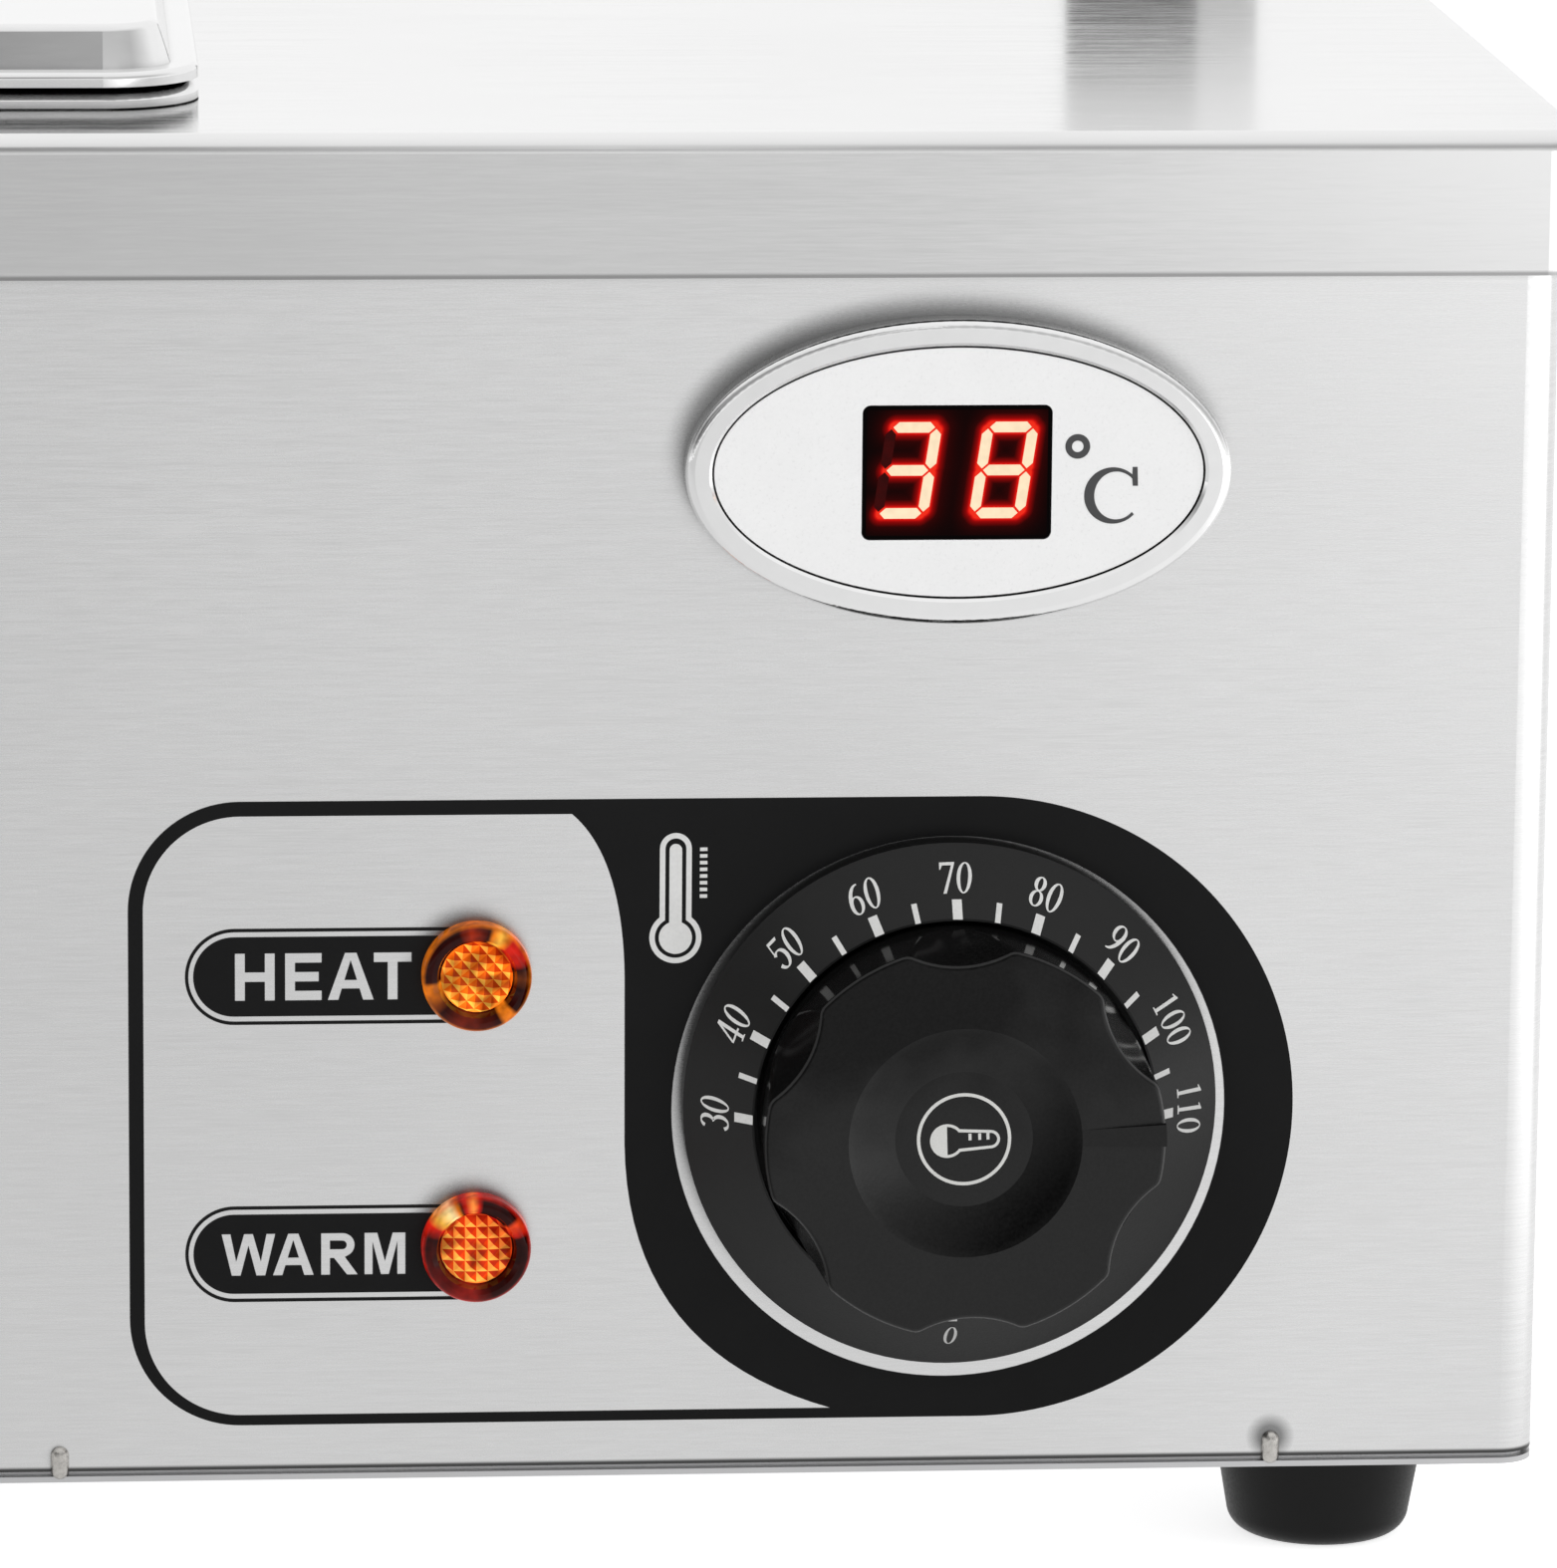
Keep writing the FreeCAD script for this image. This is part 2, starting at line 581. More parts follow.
def foot(place):
    """Tapered rubber foot with a recess for its screw."""
    slope = (FOOT_TOP_RADIUS - FOOT_BOTTOM_RADIUS) / FOOT_HEIGHT
    shoulder = FOOT_BOTTOM_RADIUS + slope * FOOT_EDGE
    corner = (FOOT_BOTTOM_RADIUS - FOOT_EDGE * 0.22, FOOT_EDGE * 0.27)
    hole = FOOT_SCREW_RADIUS + SCREW_CLEARANCE
    solid = turned((FOOT_RECESS_RADIUS, 0), (FOOT_BOTTOM_RADIUS - FOOT_EDGE, 0),
                   (corner, (shoulder, FOOT_EDGE)), (FOOT_TOP_RADIUS, FOOT_HEIGHT), (hole, FOOT_HEIGHT),
                   (hole, FOOT_RECESS_DEPTH), (FOOT_RECESS_RADIUS, FOOT_RECESS_DEPTH))
    solid.translate(place)
    return solid


def foot_screws():
    """Pan-head screws up through the feet, with the nuts' grip above the plate."""
    head_bottom = FOOT_RECESS_DEPTH - FOOT_HEAD_HEIGHT
    tip = BASE_TOP + FOOT_NUT_HEIGHT + 2 * BASE_SHEET
    crown = (FOOT_HEAD_RADIUS * 0.8, head_bottom + FOOT_HEAD_HEIGHT * 0.3)
    screw = turned((0, head_bottom), (crown, (FOOT_HEAD_RADIUS, FOOT_RECESS_DEPTH)),
                   (FOOT_SCREW_RADIUS, FOOT_RECESS_DEPTH), (FOOT_SCREW_RADIUS, tip), (0, tip))
    screws = []
    for place in FEET.values():
        placed = screw.copy()
        placed.translate(place)
        screws.append(placed)
    return Part.makeCompound(screws)


def foot_nuts():
    return Part.makeCompound([hexagon(place + V(0, 0, BASE_TOP), UP, FOOT_NUT_FLATS, FOOT_NUT_HEIGHT,
                                      FOOT_SCREW_RADIUS) for place in FEET.values()])


def food_pan(x):
    """Drawn pan: edge sheet, short rise, level flange, stacking step, drafted walls and a round floor."""
    brim = (PAN_WIDTH, PAN_LENGTH, PAN_CORNER, x, 0)
    crest = stack(brim, (0, PAN_EDGE), (0, PAN_EDGE + PAN_EDGE_SHEET), (PAN_RISE_RUN, PAN_TOP))
    below = crest.copy()
    below.translate(V(0, 0, -PAN_EDGE_SHEET))
    flange = crest.cut(below)
    mouth = (PAN_MOUTH_WIDTH, PAN_MOUTH_LENGTH, PAN_BODY_CORNER, x, 0)
    step_top = PAN_TOP - PAN_STEP_DEPTH
    step_low = step_top - PAN_STEP
    skin = stack(mouth, (-PAN_SHEET, PAN_TOP - PAN_EDGE_SHEET), (-PAN_SHEET, step_top),
                 (PAN_STEP - PAN_SHEET, step_low), (PAN_STEP + PAN_DRAFT - PAN_SHEET, PAN_FLOOR))
    skin = rounded(skin, PAN_FLOOR_RADIUS, level(PAN_FLOOR))
    hollow = stack(mouth, (0, PAN_TOP), (0, step_top), (PAN_STEP, step_low),
                   (PAN_STEP + PAN_DRAFT, PAN_FLOOR + PAN_SHEET))
    hollow = rounded(hollow, PAN_FLOOR_RADIUS - PAN_SHEET, level(PAN_FLOOR + PAN_SHEET))
    pan = flange.fuse(skin).cut(hollow).removeSplitter()

    def at_mouth(point):
        inside = abs(point.x - x) < PAN_MOUTH_WIDTH / 2 + 0.01 and abs(point.y) < PAN_MOUTH_LENGTH / 2 + 0.01
        return inside and level(PAN_TOP)(point)

    return rounded(pan, PAN_MOUTH_RADIUS, at_mouth)


def pan_lid(x):
    """Pressed lid: bullnosed rim, narrow ledge, steep step and flat top, hollow underneath."""
    brim = (PAN_WIDTH, PAN_LENGTH, PAN_CORNER, x, 0)
    step_end = LID_STEP_INSET + LID_STEP_RUN
    plate = rounded(stack(brim, (0, LID_EDGE), (0, LID_LEDGE)), LID_RIM_BEND, level(LID_LEDGE))
    dome = stack(brim, (LID_STEP_INSET, LID_LEDGE), (step_end, LID_TOP))
    dome = rounded(dome, LID_TOP_BEND, level(LID_TOP))
    under = stack(brim, (LID_SHEET, LID_EDGE), (LID_SHEET, LID_LEDGE - LID_SHEET))
    attic = stack(brim, (LID_STEP_INSET + LID_SHEET, LID_LEDGE - LID_SHEET),
                  (step_end + LID_SHEET, LID_TOP - LID_SHEET))
    return plate.fuse(dome).cut(under).cut(attic).removeSplitter()


def lid_handle(x):
    """Strip handle: two flat feet on the lid and a raised grip between them."""
    low = LID_TOP + HANDLE_STRIP / 2
    high = LID_TOP + HANDLE_HEIGHT - HANDLE_STRIP / 2
    half = HANDLE_LENGTH / 2
    leg = half - HANDLE_FOOT
    points = [V(x - half, 0, low), V(x - leg, 0, low), V(x - leg + HANDLE_SPREAD, 0, high),
              V(x + leg - HANDLE_SPREAD, 0, high), V(x + leg, 0, low), V(x + half, 0, low)]
    a, b = HANDLE_WIDTH / 2, HANDLE_STRIP / 2
    outline = ((-a, -b), (a, -b), (a, b), (-a, b), (-a, -b))
    section = Part.makePolygon([points[0] + V(0, y, z) for y, z in outline])
    strip = bent_wire(points, HANDLE_BEND).makePipeShell([section], True, False, 0)
    return rounded(strip, HANDLE_WIDTH * 0.45,
                   lambda point: abs(abs(point.x - x) - half) < 1e-4 and abs(abs(point.y) - a) < 1e-4)


def heating_element():
    """Sheathed tube bent in an M, level over the well's floor, its ends through the right wall."""
    ends = element_ends()
    outer = ends[1].y
    inner = outer - ELEMENT_LEG_PITCH
    z = ends[0].z
    far = WELL_LEFT + ELEMENT_END_GAP
    near = WELL_RIGHT - ELEMENT_END_GAP
    tip = WELL_OUTSIDE + GASKET_SHEET + FITTING_THREAD + ELEMENT_STUB
    points = [V(tip, -outer, z), V(far, -outer, z), V(far, -inner, z), V(near, -inner, z), V(near, inner, z),
              V(far, inner, z), V(far, outer, z), V(tip, outer, z)]
    return tube(points, ELEMENT_LEG_PITCH / 2, ELEMENT_RADIUS)


def element_fittings():
    """Flanged bushes: head inside the well, thread through the wall."""
    bore = ELEMENT_RADIUS + BUSH_FIT
    bushes = []
    for end in element_ends():
        inside = end - V(GASKET_SHEET, 0, 0)
        head = rod(inside - V(FITTING_HEAD_LENGTH, 0, 0), V(1, 0, 0), FITTING_HEAD, FITTING_HEAD_LENGTH)
        neck = rod(inside, V(1, 0, 0), FITTING_RADIUS, GASKET_SHEET + WELL_SHEET + FITTING_THREAD)
        hole = rod(inside - V(FITTING_HEAD_LENGTH, 0, 0), V(1, 0, 0), bore,
                   FITTING_HEAD_LENGTH + GASKET_SHEET + WELL_SHEET + FITTING_THREAD)
        bushes.append(head.fuse(neck).cut(hole).removeSplitter())
    return Part.makeCompound(bushes)


def element_gaskets():
    """Sealing rings between each bush's head and the well's wall."""
    return Part.makeCompound([ring(end - V(GASKET_SHEET, 0, 0), V(1, 0, 0), FITTING_HEAD,
                                   FITTING_RADIUS + BUSH_FIT, GASKET_SHEET) for end in element_ends()])


def element_nuts():
    return Part.makeCompound([hexagon(end + V(WELL_SHEET, 0, 0), V(1, 0, 0), FITTING_NUT_FLATS,
                                      FITTING_NUT_HEIGHT, FITTING_RADIUS) for end in element_ends()])


def element_terminals():
    """Flat push-on tabs welded to the element's cold ends."""
    tip = WELL_OUTSIDE + GASKET_SHEET + FITTING_THREAD + ELEMENT_STUB
    tabs = []
    for end in element_ends():
        tab = box((tip, tip + TERMINAL_LENGTH), (end.y - TERMINAL_SHEET / 2, end.y + TERMINAL_SHEET / 2),
                  (end.z - TERMINAL_WIDTH / 2, end.z + TERMINAL_WIDTH / 2))
        hole = rod(V(tip + TERMINAL_LENGTH * 0.6, end.y - TERMINAL_SHEET, end.z), V(0, 1, 0),
                   TERMINAL_WIDTH * 0.13, 2 * TERMINAL_SHEET)
        tabs.append(tab.cut(hole))
    return Part.makeCompound(tabs)


def element_clips():
    """Saddles that hold the element's legs over the floor."""
    width = 2 * (ELEMENT_RADIUS + CLIP_WALL)
    height = WELL_FLOOR + ELEMENT_LIFT
    clips = []
    for x in (WELL_X - WELL_LENGTH * 0.25, WELL_X + WELL_LENGTH * 0.25):
        for leg in (-1.5, -0.5, 0.5, 1.5):
            y = leg * ELEMENT_LEG_PITCH
            block = box((x - CLIP_LENGTH / 2, x + CLIP_LENGTH / 2), (y - width / 2, y + width / 2),
                        (WELL_FLOOR, height))
            start = V(x - CLIP_LENGTH, y, height)
            saddle = rod(start, V(1, 0, 0), ELEMENT_RADIUS + BUSH_FIT, 2 * CLIP_LENGTH)
            clips.append(block.cut(saddle))
    return Part.makeCompound(clips)


def thermostat_body():
    """Switch housing on a bracket plate, with the bush that the spindle turns in."""
    plate = prism(rounded_rect(BRACKET_WIDTH, BRACKET_HEIGHT, 3 * BRACKET_SHEET, THERMOSTAT_FRONT),
                  BRACKET_SHEET)
    housing = prism(rounded_rect(THERMOSTAT_WIDTH, THERMOSTAT_HEIGHT, 2 * BRACKET_SHEET, THERMOSTAT_BACK),
                    THERMOSTAT_DEPTH)
    housing = rounded(housing, BRACKET_SHEET, level(THERMOSTAT_BACK))
    bush = rod(V(0, 0, THERMOSTAT_FRONT), UP, BUSH_RADIUS, BRACKET_SHEET + 2 * BODY_SHEET)
    bore = rod(V(0, 0, THERMOSTAT_BACK + BRACKET_SHEET), UP, SPINDLE_RADIUS + SHAFT_FIT,
               THERMOSTAT_DEPTH + 2 * BRACKET_SHEET)
    cuts = [bore]
    for side in (-1, 1):
        cuts.append(rod(V(side * BRACKET_SCREW_PITCH / 2, 0, THERMOSTAT_BACK), UP, BRACKET_SCREW_RADIUS,
                        THERMOSTAT_DEPTH + BRACKET_SHEET))
    return on_panel(plate.fuse([housing, bush]).cut(cuts).removeSplitter(), DIAL_X, DIAL_Z)


def thermostat_screws():
    """Two low-head screws that the dial plate hides."""
    screws = []
    for side in (-1, 1):
        x = side * BRACKET_SCREW_PITCH / 2
        shank = BODY_SHEET + BRACKET_SHEET
        screw = rod(V(x, 0, -shank), UP, BRACKET_SCREW_RADIUS, shank)
        head = Part.makeCone(BRACKET_HEAD_RADIUS, BRACKET_HEAD_RADIUS * 0.8, BRACKET_HEAD_HEIGHT, V(x, 0, 0))
        screws.append(on_panel(screw.fuse(head).removeSplitter(), DIAL_X, DIAL_Z))
    return Part.makeCompound(screws)


def dial_plate():
    """Fixed moulded plate: a cone for the scale round the recess that the knob sits in, hollow behind."""
    bore = BUSH_RADIUS + SCREW_CLEARANCE
    recess = KNOB_RADIUS + KNOB_SIDE_GAP
    land = recess + DIAL_LAND
    slope = (DIAL_BROW - DIAL_EDGE) / (DIAL_RADIUS - land)
    drop = DIAL_WALL * math.hypot(1, slope)

    def under(radius):
        return radius, DIAL_EDGE - drop + slope * (DIAL_RADIUS - radius)

    under_floor = DIAL_FLOOR - DIAL_WALL
    plate = turned((DIAL_RADIUS, 0), (DIAL_RADIUS, DIAL_EDGE), (land, DIAL_BROW), (recess, DIAL_BROW),
                   (recess, DIAL_FLOOR), (bore, DIAL_FLOOR), (bore, under_floor),
                   (recess + DIAL_WALL, under_floor), under(recess + DIAL_WALL),
                   under(DIAL_RADIUS - DIAL_WALL), (DIAL_RADIUS - DIAL_WALL, 0))
    return on_panel(plate, DIAL_X, DIAL_Z)


def knob():
    """Moulded control knob: soft finger scoops, a dished middle, a raised pointer and a hollow back."""
    base, tip = KNOB_BACK, KNOB_FACE
    face = tip - POINTER_RISE
    floor = face - KNOB_DISH_DEPTH
    body = turned((0, base), (KNOB_BASE_RADIUS, base), (KNOB_RADIUS, face), (0, face))
    lean = math.degrees(math.atan2(SCOOP_BITE, SCOOP_LENGTH))
    scoops = []
    for index in range(KNOB_SCOOPS):
        angle = (index + 0.5) * 360 / KNOB_SCOOPS
        scoop = rod(V(0, 0, -KNOB_HEIGHT), UP, SCOOP_RADIUS, 2 * KNOB_HEIGHT)
        scoop.rotate(V(0, 0, 0), V(0, 1, 0), -lean)
        scoop.translate(V(KNOB_RADIUS - SCOOP_BITE + SCOOP_RADIUS / math.cos(math.radians(lean)), 0, face))
        scoop.rotate(V(0, 0, 0), UP, angle)
        scoops.append(scoop)
    body = body.cut(scoops).removeSplitter()
    corners = [edge for edge in body.Edges
               if edge.BoundBox.ZMin > base + KNOB_EDGE and edge.BoundBox.ZLength > KNOB_EDGE]
    body = rounded(body.makeFillet(SCOOP_CORNER, corners), KNOB_EDGE, level(face))
    rows = []
    for x, width, top in ((KNOB_DISH_RADIUS, POINTER_WIDTH, face), (KNOB_RADIUS, POINTER_END_WIDTH, tip)):
        a = width / 2
        rows.append(Part.makePolygon([V(x, y, z) for y, z in ((-a, floor), (a, floor), (a, top), (-a, top),
                                                              (-a, floor))]))
    pointer = Part.makeLoft(rows, True, True).common(rod(V(0, 0, floor), UP, KNOB_RADIUS, KNOB_HEIGHT))
    slope = ((KNOB_DISH_RADIUS + KNOB_DISH_FLOOR_RADIUS) / 2, face - KNOB_DISH_DEPTH * 0.6)
    dish = turned((0, floor), (KNOB_DISH_FLOOR_RADIUS, floor), (slope, (KNOB_DISH_RADIUS, face)),
                  (KNOB_DISH_RADIUS, tip), (0, tip))
    inside = KNOB_RADIUS - SCOOP_BITE - KNOB_WALL
    cavity = ring(V(0, 0, base), UP, inside, KNOB_HUB_RADIUS, floor - KNOB_WALL - base)
    bore = rod(V(0, 0, base), UP, SPINDLE_RADIUS + SHAFT_FIT, SPINDLE_REACH - base + 2 * SHAFT_FIT)
    key = SPINDLE_RADIUS - SPINDLE_FLAT + SHAFT_FIT
    bore = bore.cut(box((key, KNOB_RADIUS), (-KNOB_RADIUS, KNOB_RADIUS), (base, face)))
    solid = body.fuse(pointer).cut([dish, cavity, bore]).removeSplitter()
    return on_panel(solid, DIAL_X, DIAL_Z, KNOB_REST_ANGLE)


def thermostat_spindle():
    """Spindle with a flat, from inside the switch to inside the knob's hub."""
    start = THERMOSTAT_BACK + 2 * BRACKET_SHEET
    shaft = rod(V(0, 0, start), UP, SPINDLE_RADIUS, SPINDLE_REACH - start)
    flat = SPINDLE_RADIUS - SPINDLE_FLAT
    shaft = shaft.cut(box((flat, KNOB_RADIUS), (-KNOB_RADIUS, KNOB_RADIUS), (KNOB_BACK, SPINDLE_REACH)))
    return on_panel(shaft, DIAL_X, DIAL_Z, KNOB_REST_ANGLE)


def bulb_line():
    """Axis of the bulb against the well's right wall: its near end and its far end."""
    x = WELL_OUTSIDE + BULB_RADIUS + BUSH_FIT
    z = WELL_FLOOR + BULB_HEIGHT
    return V(x, -BULB_OFFSET - BULB_LENGTH / 2, z), V(x, BULB_LENGTH / 2 - BULB_OFFSET, z)


def capillary_points():
    """Corners of the capillary's route from the back of the thermostat to the bulb."""
    near, far = bulb_line()
    start = V(DIAL_X + THERMOSTAT_WIDTH / 4, FRONT - THERMOSTAT_BACK, DIAL_Z)
    cross = near.y - CAPILLARY_RUN
    return [start, V(start.x, cross, start.z), V(near.x, cross, near.z), near]


def capillary_tube():
    """Thin tube through the heat shield, from the thermostat to the bulb."""
    return tube(capillary_points(), CAPILLARY_BEND, CAPILLARY_RADIUS)


def thermostat_bulb():
    near, far = bulb_line()
    bulb = rod(near, V(0, 1, 0), BULB_RADIUS, BULB_LENGTH)
    return bulb.makeFillet(BULB_RADIUS * 0.6, [edge for edge in bulb.Edges
                                               if edge.Closed and abs(edge.CenterOfMass.y - far.y) < 1e-4])


def bulb_clips():
    """Spring straps that press the bulb to the well's wall: two flats and an arch over the bulb."""
    near, far = bulb_line()
    inner = BULB_RADIUS + BUSH_FIT
    outer = inner + TERMINAL_SHEET
    clips = []
    for share in (0.2, 0.8):
        low = near.y + share * BULB_LENGTH - BULB_CLIP_LENGTH / 2
        high = low + BULB_CLIP_LENGTH
        start = V(near.x, low, near.z)
        arch = rod(start, V(0, 1, 0), outer, BULB_CLIP_LENGTH)
        legs = box((WELL_OUTSIDE, near.x), (low, high), (near.z - outer, near.z + outer))
        flats = box((WELL_OUTSIDE, WELL_OUTSIDE + TERMINAL_SHEET), (low, high),
                    (near.z - 2 * outer, near.z + 2 * outer))
        wall = box((WELL_OUTSIDE - 2 * outer, WELL_OUTSIDE), (low, high), (near.z - outer, near.z + outer))
        bed = box((WELL_OUTSIDE, near.x), (low, high), (near.z - inner, near.z + inner))
        hole = rod(start, V(0, 1, 0), inner, BULB_CLIP_LENGTH)
        clips.append(arch.fuse([legs, flats]).cut([wall, bed, hole]).removeSplitter())
    return Part.makeCompound(clips)


def overheat_cutout():
    """Disc thermostat with two ears, flat on the well's wall."""
    z = WELL_FLOOR + CUTOUT_HEIGHT
    place = V(WELL_OUTSIDE, 0, z)
    cup = rod(place, V(1, 0, 0), CUTOUT_RADIUS, CUTOUT_DEPTH)
    ears = box((place.x, place.x + TERMINAL_SHEET), (-CUTOUT_EAR / 2, CUTOUT_EAR / 2), (z - 3, z + 3))
    tabs = [box((place.x + CUTOUT_DEPTH, place.x + CUTOUT_DEPTH + TERMINAL_LENGTH),
                (side * 4 - TERMINAL_SHEET / 2, side * 4 + TERMINAL_SHEET / 2),
                (z - TERMINAL_WIDTH / 2, z + TERMINAL_WIDTH / 2)) for side in (-1, 1)]
    return cup.fuse([ears] + tabs).removeSplitter()


def lamp_lens():
    """Moulded lens: a rounded collar round a sunk, slightly crowned middle."""
    crown = LENS_FLOOR + LENS_CROWN
    ball = (LENS_WELL_RADIUS ** 2 + LENS_CROWN ** 2) / (2 * LENS_CROWN)
    halfway = LENS_WELL_RADIUS / 2
    return turned((0, 0), (LENS_RADIUS, 0), (LENS_RADIUS, LENS_HEIGHT * 0.55),
                  ((LENS_RADIUS - 0.5, LENS_HEIGHT * 0.9), (LENS_RADIUS - 1.3, LENS_HEIGHT)),
                  (LENS_WELL_RADIUS + 0.5, LENS_HEIGHT - 0.3), (LENS_WELL_RADIUS, LENS_FLOOR),
                  ((halfway, crown - ball + math.sqrt(ball ** 2 - halfway ** 2)), (0, crown)))


def lamp_body():
    """Lamp holder behind the panel: threaded sleeve with two tabs."""
    sleeve = rod(V(0, 0, -LAMP_BODY_LENGTH), UP, LAMP_BODY_RADIUS, LAMP_BODY_LENGTH)
    tabs = [box((side * 2 - TERMINAL_SHEET / 2, side * 2 + TERMINAL_SHEET / 2), (-1.4, 1.4),
                (-LAMP_BODY_LENGTH - TERMINAL_LENGTH, -LAMP_BODY_LENGTH)) for side in (-1, 1)]
    return sleeve.fuse(tabs)


def lamp_nuts():
    start = V(0, 0, -BODY_SHEET - LAMP_NUT_HEIGHT)
    nut = hexagon(start, UP, LAMP_NUT_FLATS, LAMP_NUT_HEIGHT, LAMP_BODY_RADIUS)
    return Part.makeCompound([on_panel(nut, LAMP_X, PANEL_BOTTOM + height)
                              for height in (HEAT_LAMP_HEIGHT, WARM_LAMP_HEIGHT)])


def oval(length, width, z, height):
    """Elliptical block on the thermometer's axis."""
    ellipse = Part.Ellipse(V(0, 0, z), length / 2, width / 2)
    return Part.Face(Part.Wire(ellipse.toShape())).extrude(V(0, 0, height))


def display_bezel():
    """Oval bezel: rounded outside, bevelled inside, with a step that the face sits on."""
    ledge = FACE_TOP - FACE_SHEET
    block = oval(BEZEL_LENGTH, BEZEL_WIDTH, 0, BEZEL_RISE)
    block = rounded(block, BEZEL_BEND, level(BEZEL_RISE))
    inner_length, inner_width = BEZEL_LENGTH - 2 * BEZEL_RING, BEZEL_WIDTH - 2 * BEZEL_RING
    block = block.cut(oval(inner_length, inner_width, ledge, BEZEL_RISE))
    rim = [edge for edge in block.Edges if edge.Closed and level(BEZEL_RISE)(edge.CenterOfMass)
           and edge.BoundBox.XLength < inner_length + BEZEL_BEVEL]
    block = block.makeChamfer(BEZEL_BEVEL, rim)
    hole = rounded_rect(MODULE_LENGTH + 2 * FACE_FIT, MODULE_WIDTH + 2 * FACE_FIT, WINDOW_CORNER, 0)
    return on_panel(block.cut(prism(hole, ledge)), DISPLAY_X, DISPLAY_Z)


def display_face():
    """Oval plate inside the bezel, with a cut-out for the window."""
    length = BEZEL_LENGTH - 2 * (BEZEL_RING + FACE_GAP)
    width = BEZEL_WIDTH - 2 * (BEZEL_RING + FACE_GAP)
    plate = oval(length, width, FACE_TOP - FACE_SHEET, FACE_SHEET)
    opening = prism(rounded_rect(WINDOW_LENGTH + 2 * FACE_FIT, WINDOW_WIDTH + 2 * FACE_FIT, WINDOW_CORNER,
                                 FACE_TOP - FACE_SHEET, WINDOW_OFFSET), FACE_SHEET)
    return on_panel(plate.cut(opening), DISPLAY_X, DISPLAY_Z)


def display_window():
    """Dark filter in front of the digits, flush with the face."""
    window = prism(rounded_rect(WINDOW_LENGTH, WINDOW_WIDTH, WINDOW_CORNER, FACE_TOP - FACE_SHEET,
                                WINDOW_OFFSET), FACE_SHEET)
    return on_panel(window, DISPLAY_X, DISPLAY_Z)


def display_module():
    """Digit block and its circuit housing, through the panel behind the face."""
    front = FACE_TOP - FACE_SHEET
    back = front - MODULE_DEPTH
    housing = prism(rounded_rect(MODULE_LENGTH, MODULE_WIDTH, WINDOW_CORNER, back), MODULE_DEPTH)
    return on_panel(housing, DISPLAY_X, DISPLAY_Z)


def temperature_probe():
    """Metal sheath through the well's wall, held by its hexagonal head outside."""
    place = probe_place()
    sheath = rod(place - V(PROBE_LENGTH, 0, 0), V(1, 0, 0), PROBE_RADIUS, PROBE_LENGTH + WELL_SHEET)
    sheath = sheath.makeFillet(PROBE_RADIUS * 0.7, [edge for edge in sheath.Edges if edge.Closed
                                                    and edge.CenterOfMass.x < place.x - PROBE_LENGTH / 2])
    head = hexagon(place + V(WELL_SHEET, 0, 0), V(1, 0, 0), PROBE_HEAD_FLATS, PROBE_HEAD_HEIGHT)
    return sheath.fuse(head).removeSplitter()


def probe_lead():
    """Sensor lead from the probe, over the heat shield, to the back of the display module."""
    place = probe_place()
    start = place + V(WELL_SHEET + PROBE_HEAD_HEIGHT, 0, 0)
    end = V(DISPLAY_X, FRONT - (FACE_TOP - FACE_SHEET - MODULE_DEPTH), DISPLAY_Z)
    top = V(start.x + LEAD_BEND, start.y, end.z)
    points = [start, V(top.x, start.y, start.z), top, V(end.x, top.y, top.z), end]
    return tube(points, LEAD_BEND - LEAD_RADIUS, LEAD_RADIUS)


def heat_shield():
    """Bent plate standing on the base between the well and the switch gear."""
    half = BODY_DEPTH / 2 - SHIELD_MARGIN
    wall = box((SHIELD_X, SHIELD_X + SHIELD_SHEET), (-half, half), (BASE_TOP, BASE_TOP + SHIELD_HEIGHT))
    toe = box((SHIELD_X, SHIELD_X + SHIELD_FOOT), (-half, half), (BASE_TOP, BASE_TOP + SHIELD_SHEET))
    inner, outer = capillary_points()[2], capillary_points()[1]
    share = (outer.x - SHIELD_X) / (outer.x - inner.x)
    crossing = V(SHIELD_X, outer.y, outer.z + share * (inner.z - outer.z))
    holes = [rod(crossing, V(1, 0, 0), SHIELD_HOLE_RADIUS, SHIELD_SHEET)]
    for end in element_ends():
        holes.append(rod(V(SHIELD_X, end.y, end.z), V(1, 0, 0), 2 * SHIELD_HOLE_RADIUS, SHIELD_SHEET))
    return wall.fuse(toe).cut(holes).removeSplitter()


def terminal_block():
    """Moulded block for the supply wires, on the base plate."""
    x, y = DIAL_X, BACK - BLOCK_FROM_BACK
    block = box((x - BLOCK_LENGTH / 2, x + BLOCK_LENGTH / 2), (y - BLOCK_DEPTH / 2, y + BLOCK_DEPTH / 2),
                (BASE_TOP, BASE_TOP + BLOCK_HEIGHT))
    pitch = BLOCK_LENGTH / BLOCK_POLES
    cuts = []
    for index in range(BLOCK_POLES):
        hole_x = x + (index - (BLOCK_POLES - 1) / 2) * pitch
        cuts.append(rod(V(hole_x, y - BLOCK_DEPTH, BASE_TOP + BLOCK_HEIGHT * 0.4), V(0, 1, 0),
                        BLOCK_HOLE_RADIUS, 2 * BLOCK_DEPTH))
        for side in (-1, 1):
            cuts.append(rod(V(hole_x, y + side * BLOCK_DEPTH / 4, BASE_TOP + BLOCK_HEIGHT * 0.4), UP,
                            BLOCK_HOLE_RADIUS * 0.8, BLOCK_HEIGHT))
    return block.cut(cuts)


